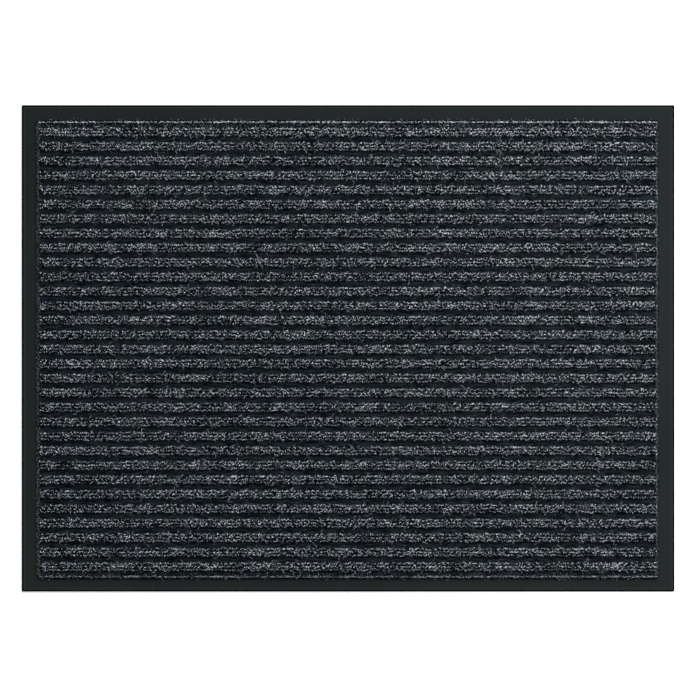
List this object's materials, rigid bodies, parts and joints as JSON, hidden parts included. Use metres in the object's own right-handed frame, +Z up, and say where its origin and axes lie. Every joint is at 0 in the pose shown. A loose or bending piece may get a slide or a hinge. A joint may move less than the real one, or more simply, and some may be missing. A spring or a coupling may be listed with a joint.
{
  "type": "door mat",
  "caption": "Rectangular ribbed door mat: heathered pile ribs on dark felt, let into a rubber backing with a raised bevelled border.",
  "frame": {"origin": "middle of the flat underside", "axes": "+X along the ribs and the long side, +Y towards the back border, +Z up out of the pile"},
  "size_m": [0.8, 0.596, 0.007],
  "materials": {
    "rubber": "matt moulded rubber, fine grain",
    "bonding_coat": "dull bonding coat",
    "ground_felt": "needled felt, near black with a blue cast",
    "heather_pile": "heathered grey and black looped fibre",
    "cut_fibres": "loose cut fibre ends"
  },
  "bodies": {
    "root": {"backing_sheet": "rubber", "bond_coat": "bonding_coat", "felt_ground": "ground_felt", "pile_rib_01": "heather_pile", "pile_rib_02": "heather_pile", "pile_rib_03": "heather_pile", "pile_rib_04": "heather_pile", "pile_rib_05": "heather_pile", "pile_rib_06": "heather_pile", "pile_rib_07": "heather_pile", "pile_rib_08": "heather_pile", "pile_rib_09": "heather_pile", "pile_rib_10": "heather_pile", "pile_rib_11": "heather_pile", "pile_rib_12": "heather_pile", "pile_rib_13": "heather_pile", "pile_rib_14": "heather_pile", "pile_rib_15": "heather_pile", "pile_rib_16": "heather_pile", "pile_rib_17": "heather_pile", "pile_rib_18": "heather_pile", "pile_rib_19": "heather_pile", "pile_rib_20": "heather_pile", "pile_rib_21": "heather_pile", "pile_rib_22": "heather_pile", "pile_rib_23": "heather_pile", "pile_rib_24": "heather_pile", "pile_rib_25": "heather_pile", "pile_rib_26": "heather_pile", "pile_rib_27": "heather_pile", "pile_rib_28": "heather_pile", "pile_rib_29": "heather_pile", "pile_rib_30": "heather_pile", "pile_rib_31": "heather_pile", "cut_rib_back": "heather_pile", "cut_rib_front": "heather_pile", "cut_edge_left": "cut_fibres", "cut_edge_right": "cut_fibres"}
  },
  "joints": []
}
